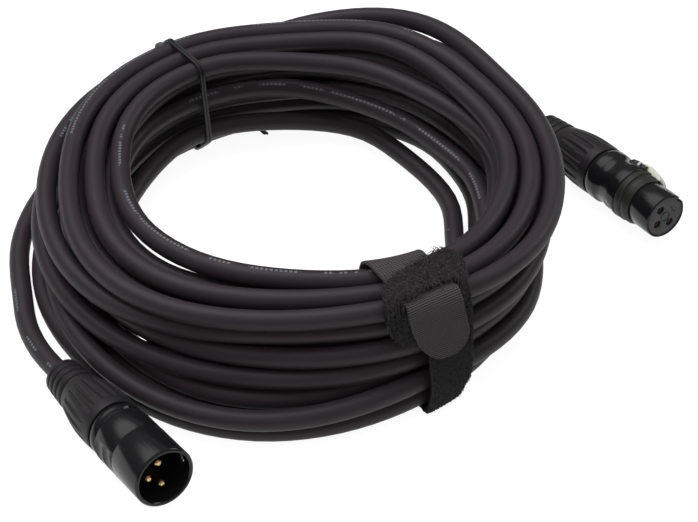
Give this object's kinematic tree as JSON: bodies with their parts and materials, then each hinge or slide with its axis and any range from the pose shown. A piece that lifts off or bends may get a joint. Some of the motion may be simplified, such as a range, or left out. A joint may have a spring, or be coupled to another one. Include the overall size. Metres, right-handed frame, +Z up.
{
  "type": "xlr cable coil",
  "caption": "Round screened microphone cable with a male and a female three-pole locking connector, wound in a flat coil and held by a hook-and-loop strap and a twisted wire tie.",
  "frame": {"origin": "on the floor plane, under the middle of the whole part's bounding box", "axes": "+Z up, along the axis of the coil; the coil lies flat; +Y points away from the strap and the two connectors' mouths; +X points to the side where the female connector lies"},
  "size_m": [0.2258, 0.2268, 0.0454],
  "materials": {
    "jacket": "satin flexible PVC",
    "core": "braided copper screen round two insulated conductors",
    "shell": "gloss black plated die-cast zinc",
    "insert": "glass-filled nylon",
    "contact": "gold plated",
    "spring_metal": "tin plated spring metal",
    "bare_wire": "twisted bare copper",
    "white_wire": "polyethylene insulation",
    "blue_wire": "polyethylene insulation",
    "chuck": "white acetal",
    "nut": "hard nylon",
    "boot": "satin polyurethane",
    "gasket": "soft dark olive rubber",
    "latch": "translucent moulded plastic",
    "strap_loop": "brushed loop pile",
    "strap_web": "woven nylon tape",
    "tie": "plastic coated wire"
  },
  "bodies": {
    "coil": {"cable_jacket": "jacket", "cable_core": "core", "male_shell": "shell", "male_insert": "insert", "male_pin_1": "contact", "male_pin_2": "contact", "male_pin_3": "contact", "male_ground_tab": "spring_metal", "male_wire_screen": "bare_wire", "male_wire_white": "white_wire", "male_wire_blue": "blue_wire", "female_shell": "shell", "female_insert": "insert", "female_socket_1": "contact", "female_socket_2": "contact", "female_socket_3": "contact", "female_ground_tab": "spring_metal", "female_gasket": "gasket", "latch_pin": "spring_metal", "latch_spring": "spring_metal", "female_wire_screen": "bare_wire", "female_wire_white": "white_wire", "female_wire_blue": "blue_wire", "strap_pad": "strap_loop", "strap_tape": "strap_web", "wire_tie": "tie"},
    "latch": {"latch_button": "latch"},
    "male_clamp": {"male_chuck": "chuck"},
    "male_grip": {"male_nut": "nut", "male_boot": "boot"},
    "female_clamp": {"female_chuck": "chuck"},
    "female_grip": {"female_nut": "nut", "female_boot": "boot"},
    "strap_end": {"strap_tail": "strap_web"}
  },
  "joints": [
    {"name": "latch_press", "type": "hinge", "parent": "coil", "child": "latch", "pos_m": [0.10122, 0.03398, 0.0157], "axis": [0.5061, 0.247, -0.8264], "range_deg": [0, 6]},
    {"name": "male_clamp_slide", "type": "slide", "parent": "coil", "child": "male_clamp", "axis": [-0.5685, 0.809, -0.1495], "range_m": [0, 0.0061]},
    {"name": "male_nut_spin", "type": "hinge", "parent": "male_clamp", "child": "male_grip", "pos_m": [-0.06828, -0.08429, 0.01172], "axis": [-0.5685, 0.809, -0.1495], "range_deg": [0, 1440]},
    {"name": "female_clamp_slide", "type": "slide", "parent": "coil", "child": "female_clamp", "axis": [-0.54, 0.8379, -0.0802], "range_m": [0, 0.0061]},
    {"name": "female_nut_spin", "type": "hinge", "parent": "female_clamp", "child": "female_grip", "pos_m": [0.08884, 0.03988, 0.00988], "axis": [-0.54, 0.8379, -0.0802], "range_deg": [0, 1440]},
    {"name": "strap_peel", "type": "hinge", "parent": "coil", "child": "strap_end", "pos_m": [0.02788, -0.06177, 0.04387], "axis": [-0.8572, -0.515, 0], "range_deg": [0, 100]}
  ],
  "couplings": [
    {"joint": "male_clamp_slide", "follows": "male_nut_spin", "m_per_rad": 0.00023873},
    {"joint": "female_clamp_slide", "follows": "female_nut_spin", "m_per_rad": 0.00023873}
  ]
}
